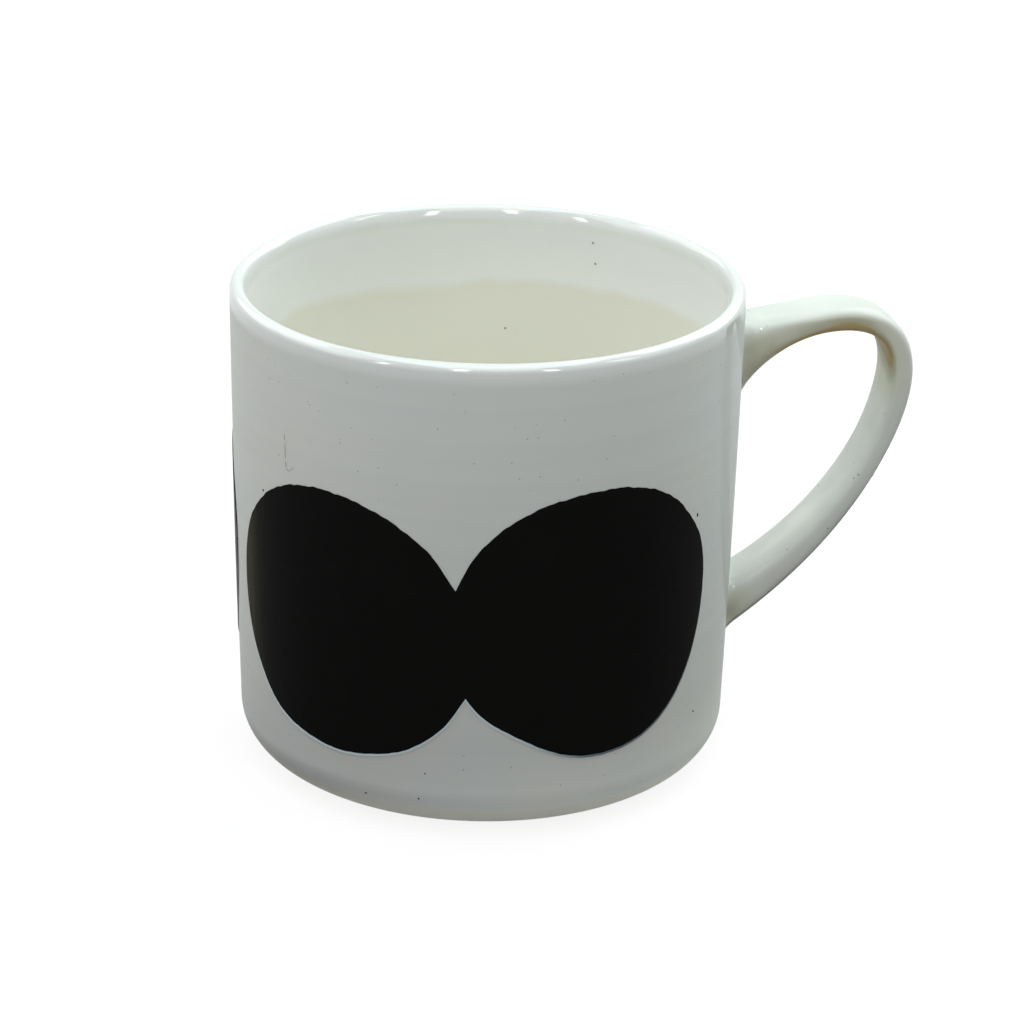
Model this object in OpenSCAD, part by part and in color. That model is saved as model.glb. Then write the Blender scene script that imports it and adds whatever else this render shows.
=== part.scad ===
// Glazed ceramic mug with a strap handle and a printed figure of two overlapping ovals on each side.
// Millimetres. +Z is up, the origin is the middle of the foot on the table, the handle points along +X.

/* [Cup] */
// Outer diameter at the rim
rim_d = 84; // [74:0.5:100]
// Height from the table to the top of the lip
cup_h = 81.4; // [76:0.1:105]
// Outer diameter where the wall meets the rounded bottom edge
base_d = 81; // [72:0.5:98]
// Outward bulge of the wall between the bottom edge and the rim
wall_bulge = 0.16; // [0:0.02:0.6]
// Thickness of the full-round lip
lip_t = 2.8; // [2:0.1:4.5]
// Wall thickness where the inside corner begins
wall_t = 4; // [3:0.1:6]
// Floor thickness over the recess
floor_t = 5; // [3.5:0.1:8]
// Radius of the inside corner between wall and floor
inner_corner_r = 11; // [5:0.5:16]

/* [Foot] */
// Outer diameter of the resting ring
foot_d = 62.2; // [52:0.2:68]
// Width of the resting ring
foot_w = 4.6; // [2.5:0.1:8]
// Depth of the recess inside the resting ring
recess_depth = 2.4; // [1:0.1:4]
// Radius of the rounded edge of the recess
recess_r = 1.8; // [0.5:0.1:4]
// Height of the rounded bottom edge
bottom_round_h = 8.4; // [5:0.1:14]

/* [Handle] */
// Width of the strap
strap_w = 10.2; // [8:0.1:15]
// Thickness of the strap along its thin stretch
strap_t = 4.1; // [3.5:0.1:6]
// Squareness of the strap's section: 2 is an ellipse, a higher number is closer to a rounded box
strap_squareness = 4; // [2:0.1:6]
// Reach of the strap's middle line beyond the rim
handle_reach = 28.4; // [22:0.1:36]
// Drop from the rim to the strap's farthest point
reach_drop = 19.3; // [15:0.1:25]
// Drop from the rim to the middle of the upper root
upper_drop = 15.8; // [13:0.1:20]
// Climb of the strap where it leaves the upper root, in degrees
upper_climb = 32; // [15:1:38]
// Height of the middle of the lower root above the table
lower_lift = 20.3; // [18:0.1:28]
// Slope of the strap where it reaches the lower root, in degrees
lower_slope = 28; // [12:1:36]
// Pull of the strap's curve at the upper root
upper_pull = 12.5; // [8:0.1:20]
// Pull of the strap's curve above its farthest point
crown_pull = 15.5; // [10:0.1:18]
// Pull of the strap's curve below its farthest point
fall_pull = 8.5; // [5:0.1:16]
// Pull of the strap's curve at the lower root
lower_pull = 28.2; // [14:0.1:34]
// Extra thickness of the strap at the upper root
upper_flare = 9.5; // [4:0.1:13]
// Length of strap over which the upper root thickens
upper_flare_l = 19.5; // [12:0.5:26]
// Extra thickness of the strap at the lower root
lower_flare = 4.8; // [2:0.1:9]
// Length of strap over which the lower root thickens
lower_flare_l = 45; // [20:0.5:50]

/* [Slip joints] */
// Thickness of the slip layer between strap and wall
slip_t = 0.4; // [0.2:0.1:1]
// Reach of the wiped slip bead out from the wall
bead_l = 2.6; // [1.5:0.1:4]
// Height of the slip bead around the strap, at the wall
bead_h = 1.6; // [0.8:0.1:2.5]

/* [Print] */
// Thickness of the printed colour
print_t = 0.12; // [0.06:0.02:0.4]
// Clearance between the wall and the back of the print
print_gap = 0.02; // [0.02:0.01:0.1]
// Direction of the middle of the front figure, in degrees from the handle
front_turn = -107.8; // [-115:0.1:-95]
// Bare strip between the ends of the two figures, along the wall
figure_gap = 6.6; // [2:0.1:12]
// Distance between the middles of the two ovals, along the wall
oval_spacing = 43.4; // [38:0.1:45]
// Extra width of the left oval over that distance, so that it overlaps the right one
left_extra = 5.6; // [3:0.1:8]
// Height of the left oval's widest level
left_z = 33.4; // [31:0.1:40]
// Rise of the left oval's widest level towards its right end
left_lean = -2.3; // [-4:0.1:4]
// Height of the left oval above its widest level
left_top = 23.8; // [18:0.1:26]
// Depth of the left oval below its widest level
left_low = 20.8; // [18:0.1:22]
// Extra width of the right oval over that distance, so that it overlaps the left one
right_extra = 5.1; // [3:0.1:8]
// Height of the right oval's widest level
right_z = 37; // [34:0.1:40]
// Rise of the right oval's widest level towards its right end
right_lean = 1.5; // [-4:0.1:4]
// Height of the right oval above its widest level
right_top = 22.8; // [18:0.1:26]
// Depth of the right oval below its widest level
right_low = 23; // [18:0.1:25]
// Fullness of the ovals' upper halves towards the middle of the figure
top_fullness = 0.04; // [0:0.01:0.2]
// Fullness of the left oval's lower half away from the middle of the figure
left_fullness = 0.11; // [0:0.01:0.25]
// Fullness of the right oval's lower half away from the middle of the figure
right_fullness = 0.17; // [0:0.01:0.25]

/* [Hidden] */
$fn = 128;
glaze_white = "#E4EAE2";
slip_white = "#DDE2D6";
print_black = "#0B0A0A";

// Steps along the curves of the cup's profile
round_steps = 12;
wall_steps = 14;
lip_steps = 16;
// Steps along each of the strap's two curves, along its buried ends and round its section
strap_steps = 18;
bury_steps = 3;
strap_sides = 24;
// Columns of a print from an end to its notch, columns between its two notches, and its rows
end_columns = 38;
notch_columns = 3;
print_rows = 6;
// How far inside the figure's ends the first and last columns of a print stand
end_inset = 0.1;
// How far a strap's end starts inside the wall's face, and how far it runs on inside
root_depth = 2.9;
root_bury = 6;
// Share of the slip bead's reach that is kept, so that its edge isn't a feather
bead_kept = 0.72;
// Steps of strap next to a root that its slip joint follows
root_steps = 10;

rim_r = rim_d / 2;
base_r = base_d / 2;
foot_r = foot_d / 2;
lip_r = lip_t / 2;
lip_z = cup_h - lip_r;
floor_z = recess_depth + floor_t;
corner_z = floor_z + inner_corner_r;

// Outer radius of the cup at height z
function outer_r(z) =
    z < bottom_round_h
    ? foot_r + (base_r - foot_r) * sqrt(1 - pow(1 - max(z, 0) / bottom_round_h, 2))
    : let (u = min(1, (z - bottom_round_h) / (lip_z - bottom_round_h)))
      base_r + (rim_r - base_r) * u + 4 * wall_bulge * u * (1 - u);

// Points of an elliptical arc round a centre, from one angle to another
function arc(centre, rx, rz, from, to, steps) =
    [for (i = [0 : steps]) let (a = from + (to - from) * i / steps) centre + [rx * cos(a), rz * sin(a)]];

// Outer face of the cup from the resting ring to the start of the lip, moved out by grow
function outer_face(grow) = concat(
    arc([foot_r + grow, bottom_round_h], base_r - foot_r, bottom_round_h, -90, 0, round_steps),
    [for (i = [1 : wall_steps])
        let (z = bottom_round_h + (lip_z - bottom_round_h) * i / wall_steps) [outer_r(z) + grow, z]]
);

// Radius of the inner wall where the inside corner begins
inner_r = outer_r(corner_z) - wall_t;
recess_wall_r = foot_r - foot_w;
// The recess's edge is rounded by less than its depth
recess_edge = min(recess_r, 0.9 * recess_depth);
recess_centre = [recess_wall_r - recess_edge, recess_depth - recess_edge];

cup_profile = concat(
    outer_face(0),
    arc([rim_r - lip_r, lip_z], lip_r, lip_r, 180 / lip_steps, 180, lip_steps - 1),
    arc([inner_r - inner_corner_r, corner_z], inner_corner_r, inner_corner_r, 0, -90, round_steps),
    [[0, floor_z], [0, recess_depth]],
    arc(recess_centre, recess_edge, recess_edge, 90, 0, round_steps),
    [[recess_wall_r, 0]]
);

// Filled outer form of the cup, moved out by grow and carried on above the rim
module cup_envelope(grow) {
    profile = outer_face(grow);
    rotate_extrude()
        polygon(concat([[0, 0]], profile, [[rim_r + grow, cup_h + root_bury], [0, cup_h + root_bury]]));
}

// The strap's middle line, as [x, z] points in the handle's plane
upper_z = cup_h - upper_drop;
upper_root = [outer_r(upper_z) - root_depth, upper_z];
upper_dir = [cos(upper_climb), sin(upper_climb)];
far_point = [rim_r + handle_reach, cup_h - reach_drop];
lower_root = [outer_r(lower_lift) - root_depth, lower_lift];
lower_dir = [cos(lower_slope), sin(lower_slope)];
upper_curve = [upper_root, upper_root + upper_pull * upper_dir, far_point + [0, crown_pull], far_point];
lower_curve = [far_point, far_point - [0, fall_pull], lower_root + lower_pull * lower_dir, lower_root];

function curve_point(c, t) =
    pow(1 - t, 3) * c[0] + 3 * pow(1 - t, 2) * t * c[1] + 3 * (1 - t) * t * t * c[2] + pow(t, 3) * c[3];
function curve_dir(c, t) =
    let (d = pow(1 - t, 2) * (c[1] - c[0]) + 2 * (1 - t) * t * (c[2] - c[1]) + t * t * (c[3] - c[2]))
    d / norm(d);

strap_line = concat(
    [for (i = [bury_steps : -1 : 1]) upper_root - upper_dir * root_bury * i / bury_steps],
    [for (i = [0 : strap_steps]) curve_point(upper_curve, i / strap_steps)],
    [for (i = [1 : strap_steps]) curve_point(lower_curve, i / strap_steps)],
    [for (i = [1 : bury_steps]) lower_root - lower_dir * root_bury * i / bury_steps]
);
strap_dirs = concat(
    [for (i = [1 : bury_steps]) upper_dir],
    [for (i = [0 : strap_steps]) curve_dir(upper_curve, i / strap_steps)],
    [for (i = [1 : strap_steps]) curve_dir(lower_curve, i / strap_steps)],
    [for (i = [1 : bury_steps]) -lower_dir]
);
last_station = len(strap_line) - 1;

// Length along the strap at each station, from the upper root
strap_run = [for (i = 0, s = -root_bury; i <= last_station;
    s = s + norm(strap_line[min(i + 1, last_station)] - strap_line[i]), i = i + 1) s];
strap_l = strap_run[last_station] - root_bury;

function flare(run, extra, length) = run > length ? 0 : extra * pow(1 - run / length, 2);
function thickness(i) = strap_t
    + flare(strap_run[i], upper_flare, upper_flare_l)
    + flare(strap_l - strap_run[i], lower_flare, lower_flare_l);

// A sine or cosine bent so that the section it draws is squarer than an ellipse
function squared(v) = sign(v) * pow(abs(v), 2 / strap_squareness);

// A point on the strap's section at station i, at angle a, moved out by grow
function strap_point(i, a, grow) =
    let (n = [-strap_dirs[i][1], strap_dirs[i][0]],
         c = strap_line[i] + n * (thickness(i) / 2 + grow) * squared(cos(a)))
    [c[0], (strap_w / 2 + grow) * squared(sin(a)), c[1]];

// Height of the slip bead on a strap point at distance d from the wall
function bead(d) = bead_h * pow(max(0, 1 - d / bead_l), 2) - (d < bead_l ? 0 : slip_t);
function bead_point(i, a) =
    let (p = strap_point(i, a, 0), d = norm([p[0], p[1]]) - outer_r(p[2])) strap_point(i, a, bead(max(d, 0)));

// A closed skin over rings of points, each ring with the same number of points
module skin(rings) {
    n = len(rings[0]);
    m = len(rings);
    sides = [for (i = [0 : m - 2], j = [0 : n - 1], half = [0, 1])
        let (a = i * n + j, b = i * n + (j + 1) % n, c = a + n, d = b + n) half == 0 ? [a, b, d] : [a, d, c]];
    caps = [[for (j = [n - 1 : -1 : 0]) j], [for (j = [0 : n - 1]) (m - 1) * n + j]];
    polyhedron(points = [for (r = rings) each r], faces = concat(sides, caps), convexity = 6);
}

function section_angles() = [for (j = [0 : strap_sides - 1]) 360 * j / strap_sides];

// The strap between two stations, cut back from the wall by the slip layer
module strap(first, last) {
    difference() {
        skin([for (i = [first : last]) [for (a = section_angles()) strap_point(i, a, 0)]]);
        cup_envelope(slip_t);
    }
}

module slip_joint(first, last) {
    color(slip_white)
        difference() {
            intersection() {
                skin([for (i = [first : last]) [for (a = section_angles()) bead_point(i, a)]]);
                cup_envelope(bead_l * bead_kept);
            }
            cup_envelope(0);
            strap(first, last);
        }
}

// One oval as [middle along the wall, half width, level, lean, top, low, top skew, low skew]
left_oval = [
    -oval_spacing / 2, (oval_spacing + left_extra) / 2, left_z, left_lean,
    left_top, left_low, top_fullness, -left_fullness
];
right_oval = [
    oval_spacing / 2, (oval_spacing + right_extra) / 2, right_z, right_lean,
    right_top, right_low, -top_fullness, right_fullness
];
print_r = outer_r((left_z + right_z) / 2);
figure_left = left_oval[0] - left_oval[1];
figure_right = right_oval[0] + right_oval[1];
back_turn = front_turn + (figure_left - figure_gap - figure_right) / print_r * 180 / PI;

// Upper and lower edge of an oval at x along the wall
function across(o, x) = (x - o[0]) / o[1];
function arch(u) = sqrt(max(0, 1 - u * u));
function oval_top(o, x) =
    let (u = across(o, x)) o[2] + o[3] * u + o[4] * (1 + o[6] * u) * arch(u);
function oval_low(o, x) =
    let (u = across(o, x)) o[2] + o[3] * u - o[5] * (1 + o[7] * u) * arch(u);
function ovals_at(x) = [for (o = [left_oval, right_oval]) if (abs(across(o, x)) < 1) o];
function figure_top(x) = max([for (o = ovals_at(x)) oval_top(o, x)]);
function figure_low(x) = min([for (o = ovals_at(x)) oval_low(o, x)]);

// Where two edges cross between a and b, with the first above the second at a
function crossing(gap, a, b, halvings = 24) =
    let (m = (a + b) / 2)
    halvings == 0 ? m : gap(m) > 0 ? crossing(gap, m, b, halvings - 1) : crossing(gap, a, m, halvings - 1);
overlap_from = right_oval[0] - right_oval[1];
overlap_to = left_oval[0] + left_oval[1];
top_notch = crossing(function (x) oval_top(left_oval, x) - oval_top(right_oval, x), overlap_from, overlap_to);
low_notch = crossing(function (x) oval_low(right_oval, x) - oval_low(left_oval, x), overlap_from, overlap_to);
first_notch = min(top_notch, low_notch);
last_notch = max(top_notch, low_notch);

// Places of the columns along the wall, closer together towards the round ends
function end_column(end, notch, k) = end + (notch - end) * (1 - cos(90 * k / end_columns));
print_columns = concat(
    [for (k = [0 : end_columns]) end_column(figure_left + end_inset, first_notch, k)],
    [for (k = [1 : notch_columns]) first_notch + (last_notch - first_notch) * k / notch_columns],
    [for (k = [end_columns - 1 : -1 : 0]) end_column(figure_right - end_inset, last_notch, k)]
);

// A point on the wall at x along it and height z, moved out by grow
function wall_point(turn, x, z, grow) =
    let (a = turn + x / print_r * 180 / PI, r = outer_r(z) + grow) [r * cos(a), r * sin(a), z];

module figure_print(turn) {
    function row_z(x, k) = let (low = figure_low(x)) low + (figure_top(x) - low) * k / print_rows;
    function back(x) = [for (k = [0 : print_rows]) wall_point(turn, x, row_z(x, k), print_gap)];
    function face(x) = [for (k = [print_rows : -1 : 0])
        wall_point(turn, x, row_z(x, k), print_gap + print_t)];
    color(print_black) skin([for (x = print_columns) concat(face(x), back(x))]);
}

module cup_body() {
    color(glaze_white) rotate_extrude() polygon(cup_profile);
}

module handle() {
    color(glaze_white) strap(0, last_station);
}

module upper_slip_joint() {
    slip_joint(0, bury_steps + root_steps);
}

module lower_slip_joint() {
    slip_joint(last_station - bury_steps - root_steps, last_station);
}

module front_print() {
    figure_print(front_turn);
}

module back_print() {
    figure_print(back_turn);
}

cup_body();
handle();
upper_slip_joint();
lower_slip_joint();
front_print();
back_print();
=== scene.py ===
import bmesh
import bpy
import numpy as np
from mathutils import Matrix, Vector


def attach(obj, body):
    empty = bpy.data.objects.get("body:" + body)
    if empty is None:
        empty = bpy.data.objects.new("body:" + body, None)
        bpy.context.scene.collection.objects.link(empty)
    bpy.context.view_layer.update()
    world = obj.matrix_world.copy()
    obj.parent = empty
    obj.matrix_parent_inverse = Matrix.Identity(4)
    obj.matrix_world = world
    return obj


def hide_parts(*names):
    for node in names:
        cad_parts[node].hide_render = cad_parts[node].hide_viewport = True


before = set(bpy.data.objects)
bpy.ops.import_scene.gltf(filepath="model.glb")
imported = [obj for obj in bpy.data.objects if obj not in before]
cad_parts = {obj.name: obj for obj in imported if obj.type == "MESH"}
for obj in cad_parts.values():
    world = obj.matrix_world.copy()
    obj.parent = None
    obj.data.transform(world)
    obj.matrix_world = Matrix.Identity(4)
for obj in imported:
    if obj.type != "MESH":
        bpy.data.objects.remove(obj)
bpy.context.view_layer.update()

# Shapes are written in millimetres, as in the CAD, and become metres when a mesh is made.
MM = 0.001

# Cup
RIM_R = 42.0
CUP_H = 81.4
BASE_R = 40.5
WALL_BULGE = 0.16
LIP_R = 1.4
# Height over which the lip's inner half rounds off into the wall
LIP_INNER_H = 2.6
WALL_T = 4.0
FLOOR_Z = 7.4
INNER_CORNER_R = 11.0
FOOT_R = 31.1
FOOT_W = 4.6
FOOT_EDGE_R = 0.4
RECESS_DEPTH = 2.4
RECESS_R = 1.8
BOTTOM_ROUND_H = 8.4
# Radius of the one flat face in the middle of the floor and of the recess
MIDDLE_R = 0.5
LIP_Z = CUP_H - LIP_R
CORNER_Z = FLOOR_Z + INNER_CORNER_R
CUP_SEGMENTS = 360
WALL_ROWS = 60

# Handle: a strap along two curves in the plane through the cup's axis
STRAP_W = 10.2
STRAP_T = 4.1
STRAP_SQUARENESS = 4.0
# How much rounder the section is on the lower half, and between which lengths along the strap it turns so
LOWER_SOFTER = 1.0
SOFTER_STEP = (40.0, 56.0)
FAR_POINT = np.array([RIM_R + 28.4, CUP_H - 19.3])
UPPER_Z = CUP_H - 15.8
LOWER_Z = 20.3
UPPER_CLIMB = np.radians(32.0)
LOWER_SLOPE = np.radians(28.0)
UPPER_PULL = 12.5
CROWN_PULL = 15.5
FALL_PULL = 8.5
LOWER_PULL = 28.2
UPPER_FLARE = 9.5
UPPER_FLARE_L = 19.5
LOWER_FLARE = 4.8
LOWER_FLARE_L = 45.0
ROOT_DEPTH = 2.9
# How far the strap's middle line is carried on inside the wall, and its skin
ROOT_BURY = 6.0
ROOT_SINK = 1.2
# How far from a root the crossing of strap and wall is looked for, and at how many places
CROSSING_REACH = 16.0
CROSSING_TRIES = 881
CURVE_POINTS = 401
BURIED_POINTS = 40
STRAP_SIDES = 96
STRAP_ROWS = 130
ROOT_ROWS = 20

# Slip joints: the wiped bead where the strap meets the wall
BEAD_ON_STRAP = 3.2
BEAD_ON_WALL = 2.0
BEAD_ROWS = 14
BEAD_INSET = 0.3
# How far the strap's close rows go on past the bead
BEAD_MARGIN = 1.0
# How far a thin piece's hidden faces lie under the surface that carries it
SINK = 0.04

# Print
PRINT_T = 0.14
FRONT_TURN = np.radians(-107.8)
FIGURE_GAP = 6.6
OVAL_SPACING = 43.4
TOP_FULLNESS = 0.04
# The swells of an edge are the place along the wall, the width and the height of each
LEFT_OVAL = dict(middle=-OVAL_SPACING / 2, half=(OVAL_SPACING + 5.6) / 2, level=33.4, lean=-2.3,
                 top=23.8, low=20.8, top_skew=TOP_FULLNESS, low_skew=-0.11,
                 top_swells=((-40.0, 3.5, -0.4), (-1.6, 1.6, -1.2)),
                 low_swells=((-41.0, 3.0, -0.7), (-27.3, 5.0, -0.3), (-8.5, 4.5, 0.5), (1.2, 2.4, -2.6)))
RIGHT_OVAL = dict(middle=OVAL_SPACING / 2, half=(OVAL_SPACING + 5.1) / 2, level=37.0, lean=1.5,
                  top=22.8, low=23.0, top_skew=-TOP_FULLNESS, low_skew=0.17,
                  top_swells=((-0.5, 1.6, -1.9), (19.0, 6.0, -0.27), (41.5, 3.5, -0.95)),
                  low_swells=((2.9, 3.0, 0.75), (10.2, 3.0, -0.19), (18.9, 5.0, 0.25)))
END_INSET = 0.02
END_COLUMNS = 220
NOTCH_COLUMNS = 6
NOTCH_TRIES = 4001
PRINT_ROWS = 14
# Ragged edges of the print, as waves along the wall: length, height and start of each
TOP_WAVES = ((2.9, 0.045, 0.4), (1.7, 0.035, 2.1), (6.3, 0.05, 1.0))
LOW_WAVES = ((3.7, 0.02, 1.3), (1.9, 0.015, 0.2))
# Where the figure is lower than this, its waves and the lines along its lower edge get smaller
FULL_EDGE_H = 8.0
# The blue bleed along the print's lower edge: its width, and how thick it is there
BLEED_W = 0.5
BLEED_T = 0.16
# Its rows from below: share of the width, height off the wall and tilt of the normal
BLEED_ROWS = ((1.0, -SINK, -0.4), (0.75, BLEED_T, 0.15), (0.05, BLEED_T / 3, 0.4))
# How much of the bleed is lost on the right, and between which places along the wall
BLEED_LOSS = 0.75
BLEED_LOSS_STEP = (8.0, 24.0)
# Width of the dark blue line inside that edge
NAVY_W = 0.35
# Painted sheen near the figure's left end, standing in for a grazing reflection on the ink: distance from
# the end and width
SHEEN_PLACE = 0.6
SHEEN_W = 3.6
# Specks of print colour beside the figure: place along the wall, height, half length and half height
INK_SPECKS = (
    (-38.6, 52.5, 0.24, 0.24), (43.2, 50.3, 0.22, 0.42), (42.3, 24.2, 0.22, 0.24), (45.7, 14.6, 0.24, 0.22),
    (-16.1, 5.8, 0.2, 0.2), (-6.6, 6.6, 0.18, 0.2), (-5.5, 11.3, 0.16, 0.16),
)

# Marks in the glaze: a hairline as places along the wall and heights, and specks inside as angle and height
HAIRLINE = ((-32.1, 64.4), (-32.0, 63.1), (-31.9, 59.8), (-31.7, 58.5), (-31.0, 58.2), (-29.8, 59.3))
HAIRLINE_W = 0.055
INNER_SPECKS = ((49.9, 76.6), (49.0, 73.0), (72.4, 59.7))
INNER_SPECK_R = 0.22
SPECK_T = PRINT_T / 2
SPECK_SIDES = 14
# Share of a speck's size that its flat top has
SPECK_TOP = 0.6
# Marks on the strap: length along it, turn round its section in degrees, and half size
STRAP_SPECKS = ((57.9, 250, 0.22), (58.9, 241, 0.17), (56.9, 306, 0.3), (64.4, 160, 0.2), (68.4, 275, 0.2))
# Beads of glaze at the roots that catch the light and are coloured whiter as a painted highlight, in the
# same way
GLAZE_DROPS = ((5.8, 302, 0.22), (8.1, 300, 0.3), (9.3, 310, 0.16), (86.4, 211, 0.2), (87.2, 239, 0.28))
DROP_ROWS = 9
# How far specks and beads on the strap lie sunk, as a share of their size
SPECK_SUNK = 0.7
DROP_SUNK = 0.45


def unit(vectors):
    """Vectors of length 1."""
    return vectors / np.linalg.norm(vectors, axis=-1, keepdims=True)


def hump(value, middle, width):
    """A smooth hump of height 1."""
    return np.exp(-((value - middle) / width) ** 2)


def rising(value, low, high):
    """A smooth rise from 0 at low to 1 at high."""
    share = np.clip((value - low) / (high - low), 0, 1)
    return share * share * (3 - 2 * share)


def grid_faces(rows, columns, close_rows=False):
    """Four-sided faces over rings of points, numbered ring by ring."""
    faces = []
    for i in range(rows if close_rows else rows - 1):
        for j in range(columns):
            i2 = (i + 1) % rows
            j2 = (j + 1) % columns
            faces.append((i * columns + j, i * columns + j2, i2 * columns + j2, i2 * columns + j))
    return faces


def tube_faces(rows, columns):
    """Faces over rings of points, with a face that closes each end."""
    last = (rows - 1) * columns
    ends = [tuple(range(columns - 1, -1, -1)), tuple(range(last, last + columns))]
    return grid_faces(rows, columns) + ends


def make_piece(name, points, faces, material, normals=None, fields=None):
    """A smooth mesh piece from points in millimetres, with its own normals and point fields where given."""
    mesh = bpy.data.meshes.new(name)
    mesh.from_pydata((np.asarray(points) * MM).tolist(), [], faces)
    shell = bmesh.new()
    shell.from_mesh(mesh)
    bmesh.ops.recalc_face_normals(shell, faces=shell.faces)
    shell.to_mesh(mesh)
    shell.free()
    mesh.shade_smooth()
    for field, values in (fields or {}).items():
        attribute = mesh.attributes.new(field, "FLOAT", "POINT")
        attribute.data.foreach_set("value", np.asarray(values, np.float32))
    if normals is not None:
        mesh.normals_split_custom_set_from_vertices(normals.tolist())
    mesh.materials.append(material)
    piece = bpy.data.objects.new(name, mesh)
    bpy.context.scene.collection.objects.link(piece)
    return piece


def outer_r(z):
    """Outer radius of the cup at height z."""
    z = np.asarray(z, float)
    rounding = np.sqrt(np.clip(1 - (1 - np.maximum(z, 0) / BOTTOM_ROUND_H) ** 2, 0, 1))
    u = np.clip((z - BOTTOM_ROUND_H) / (LIP_Z - BOTTOM_ROUND_H), 0, 1)
    wall = BASE_R + (RIM_R - BASE_R) * u + 4 * WALL_BULGE * u * (1 - u)
    return np.where(z < BOTTOM_ROUND_H, FOOT_R + (BASE_R - FOOT_R) * rounding, wall)


def wall_point(angle, z, grow):
    """A point on the cup's outer face at an angle round the axis, moved out by grow."""
    r = outer_r(z) + grow
    return np.stack((r * np.cos(angle), r * np.sin(angle), z + 0 * r), axis=-1)


def inner_point(angle, z, grow):
    """A point on the cup's inner face, moved in by grow."""
    corner_r = float(outer_r(CORNER_Z)) - WALL_T
    share = (z - CORNER_Z) / (LIP_Z - CORNER_Z)
    r = corner_r + (RIM_R - 2 * LIP_R - corner_r) * share - grow
    return np.stack((r * np.cos(angle), r * np.sin(angle), z + 0 * r), axis=-1)


def arc(centre, radii, start, end, steps):
    """Points of an elliptical arc as (radius, height), from one angle to another in degrees."""
    angles = np.radians(np.linspace(start, end, steps + 1))
    return np.column_stack((centre[0] + radii[0] * np.cos(angles), centre[1] + radii[1] * np.sin(angles)))


def line(start, end, steps):
    """Points of a straight stretch as (radius, height)."""
    return np.linspace(start, end, steps + 1)


def cup_profile():
    """The cup's section: from the recess's middle round the outside, over the lip, to the floor's middle."""
    recess_r = FOOT_R - FOOT_W
    inner_r = float(outer_r(CORNER_Z)) - WALL_T
    wall_z = np.linspace(BOTTOM_ROUND_H, LIP_Z, WALL_ROWS + 1)
    stretches = (
        line((MIDDLE_R, RECESS_DEPTH), (recess_r - RECESS_R, RECESS_DEPTH), steps=16),
        arc((recess_r - RECESS_R, RECESS_DEPTH - RECESS_R), (RECESS_R, RECESS_R), 90, 0, steps=12),
        arc((recess_r + FOOT_EDGE_R, FOOT_EDGE_R), (FOOT_EDGE_R, FOOT_EDGE_R), 180, 270, steps=6),
        line((recess_r + 2 * FOOT_EDGE_R, 0), (FOOT_R, 0), steps=6),
        arc((FOOT_R, BOTTOM_ROUND_H), (BASE_R - FOOT_R, BOTTOM_ROUND_H), -90, 0, steps=40),
        np.column_stack((outer_r(wall_z), wall_z)),
        arc((RIM_R - LIP_R, LIP_Z), (LIP_R, LIP_R), 0, 90, steps=18),
        arc((RIM_R - LIP_R, CUP_H - LIP_INNER_H), (LIP_R, LIP_INNER_H), 90, 180, steps=24),
        line((RIM_R - 2 * LIP_R, CUP_H - LIP_INNER_H), (inner_r, CORNER_Z), steps=48),
        arc((inner_r - INNER_CORNER_R, CORNER_Z), (INNER_CORNER_R, INNER_CORNER_R), 0, -90, steps=30),
        line((inner_r - INNER_CORNER_R, FLOOR_Z), (MIDDLE_R, FLOOR_Z), steps=16),
    )
    points = [stretches[0][0]]
    for stretch in stretches:
        for point in stretch:
            if np.linalg.norm(point - points[-1]) > 1e-6:
                points.append(point)
    return np.array(points)


def make_cup(material):
    """The cup's section turned round its axis."""
    profile = cup_profile()
    turn = np.linspace(0, 2 * np.pi, CUP_SEGMENTS, endpoint=False)
    r = profile[:, :1]
    z = profile[:, 1:]
    rings = np.stack((r * np.cos(turn), r * np.sin(turn), z + 0 * turn), axis=-1)
    faces = tube_faces(len(profile), CUP_SEGMENTS)
    return make_piece("cup_body_glazed", rings.reshape(-1, 3), faces, material)


def bezier(corners, t):
    """Points of a cubic curve."""
    a, b, c, d = (np.asarray(corner) for corner in corners)
    t = t[:, None]
    return (1 - t) ** 3 * a + 3 * (1 - t) ** 2 * t * b + 3 * (1 - t) * t ** 2 * c + t ** 3 * d


def strap_line():
    """The strap's middle line in the handle's plane, carried on into the wall, with the length along it."""
    t = np.linspace(0, 1, CURVE_POINTS)
    upper_root = np.array([float(outer_r(UPPER_Z)) - ROOT_DEPTH, UPPER_Z])
    lower_root = np.array([float(outer_r(LOWER_Z)) - ROOT_DEPTH, LOWER_Z])
    upper_dir = np.array([np.cos(UPPER_CLIMB), np.sin(UPPER_CLIMB)])
    lower_dir = np.array([np.cos(LOWER_SLOPE), np.sin(LOWER_SLOPE)])
    up = np.array([0.0, 1.0])
    upper = (upper_root, upper_root + UPPER_PULL * upper_dir, FAR_POINT + CROWN_PULL * up, FAR_POINT)
    lower = (FAR_POINT, FAR_POINT - FALL_PULL * up, lower_root + LOWER_PULL * lower_dir, lower_root)
    buried = np.linspace(ROOT_BURY, 0, BURIED_POINTS + 1)[:-1, None]
    upper_end = upper_root - buried * upper_dir
    lower_end = lower_root - buried[::-1] * lower_dir
    points = np.vstack((upper_end, bezier(upper, t), bezier(lower, t)[1:], lower_end))
    run = np.concatenate(([0.0], np.cumsum(np.linalg.norm(np.diff(points, axis=0), axis=1)))) - ROOT_BURY
    return points, unit(np.gradient(points, run, axis=0)), run


STRAP_POINTS, STRAP_DIRS, STRAP_RUN = strap_line()
STRAP_L = STRAP_RUN[-1] - ROOT_BURY
STRAP_ANGLES = np.linspace(0, 2 * np.pi, STRAP_SIDES, endpoint=False)


def bent(value, power):
    """A power that keeps the sign."""
    return np.sign(value) * np.abs(value) ** power


def flare(run, extra, length):
    """Thickening that fades out over a length."""
    return extra * np.maximum(0, 1 - run / length) ** 2


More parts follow.
